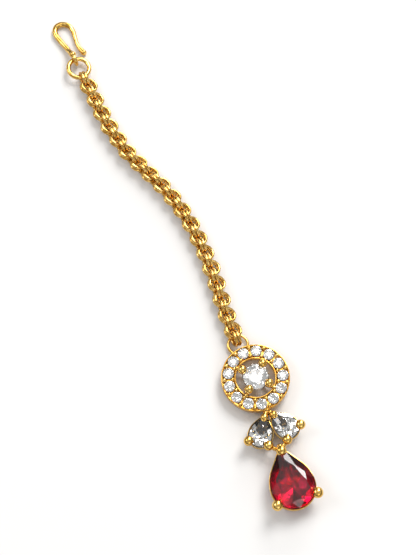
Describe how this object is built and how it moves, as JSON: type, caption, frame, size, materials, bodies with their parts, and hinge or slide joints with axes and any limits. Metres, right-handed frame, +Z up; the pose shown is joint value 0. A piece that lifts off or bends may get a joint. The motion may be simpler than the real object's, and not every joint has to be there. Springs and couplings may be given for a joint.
{
  "type": "maang tikka",
  "caption": "Forehead jewel lying flat: wire hook, end ring, double-link chain, pavé halo round a centre stone, two clear pear stones and a red pear drop.",
  "frame": {"origin": "under the centre of the bounding box, on the surface that the jewel lies on", "axes": "+Y along the jewel from the red pear drop to the hook, +Z up out of the stones' faces, +X to the right seen from the front with the hook at the top"},
  "size_m": [0.023, 0.1104, 0.0049],
  "materials": {
    "gold_plate": "polished yellow gold plate",
    "clear_stone": "faceted and polished clear stone",
    "red_stone": "faceted and polished deep red stone"
  },
  "bodies": {
    "root": {"hook": "gold_plate", "end_ring": "gold_plate", "chain": "gold_plate", "drop_ring": "gold_plate", "pendant_frame": "gold_plate", "center_stone": "clear_stone", "pear_stone_left": "clear_stone", "pear_stone_right": "clear_stone", "ruby_stone": "red_stone"}
  },
  "joints": []
}
